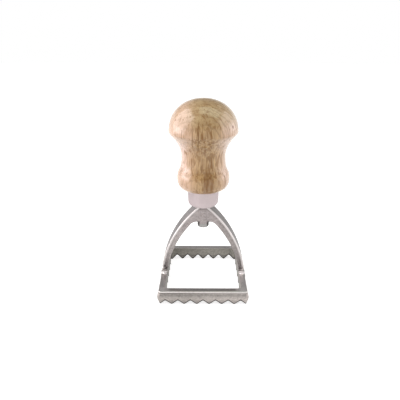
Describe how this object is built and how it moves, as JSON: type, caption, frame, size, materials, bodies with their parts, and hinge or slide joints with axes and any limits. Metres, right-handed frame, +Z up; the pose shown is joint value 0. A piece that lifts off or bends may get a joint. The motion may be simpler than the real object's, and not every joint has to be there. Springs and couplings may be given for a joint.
{
  "type": "ravioli stamp",
  "caption": "Square pasta stamp: cast aluminium cutting frame with a wavy toothed edge, pointed T-section arch and hub, screwed to a turned beech knob.",
  "frame": {"origin": "centre of the square of tooth tips, in the plane that the tips stand on", "axes": "+Z up along the handle's axis; the arch lies in the XZ plane; -Y is the front, where both corners of the cutting edge end in a tooth tip"},
  "size_m": [0.0628, 0.0628, 0.1333],
  "materials": {
    "cast_aluminium": "satin, tumbled casting",
    "beech": "turned, clear gloss lacquer",
    "screw_steel": "bright plated"
  },
  "bodies": {
    "root": {"cast_body": "cast_aluminium", "handle": "beech", "handle_screw": "screw_steel"}
  },
  "joints": []
}
